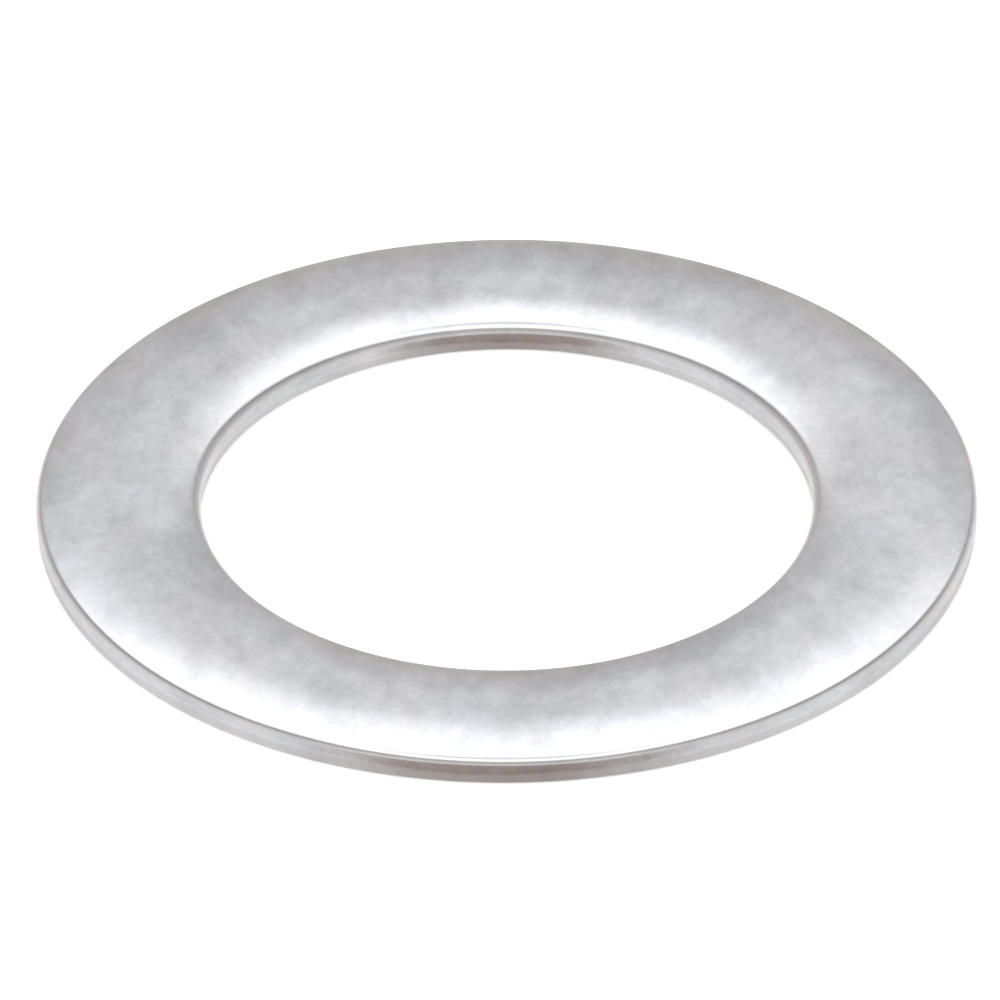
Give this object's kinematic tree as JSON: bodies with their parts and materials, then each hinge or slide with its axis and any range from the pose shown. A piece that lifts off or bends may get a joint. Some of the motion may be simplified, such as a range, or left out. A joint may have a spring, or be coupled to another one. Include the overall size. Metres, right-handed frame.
{
  "type": "flat washer",
  "caption": "Thin flat ring of zinc-plated sheet steel, with a large round bore, edges rolled over on the top face and sheared walls.",
  "frame": {"origin": "centre of the bore at the underside, the side with the sheared edge", "axes": "+Z along the bore axis, out of the rolled face; the ring is the same all round, so +X and +Y are any two directions across it"},
  "size_m": [0.039, 0.039, 0.0014],
  "materials": {
    "zinc_plated_steel": "tumbled and clear zinc plated: satin light grey with soft cloudy mottling, rubbed brighter along the edges"
  },
  "bodies": {
    "root": {"flat_washer": "zinc_plated_steel"}
  },
  "joints": []
}
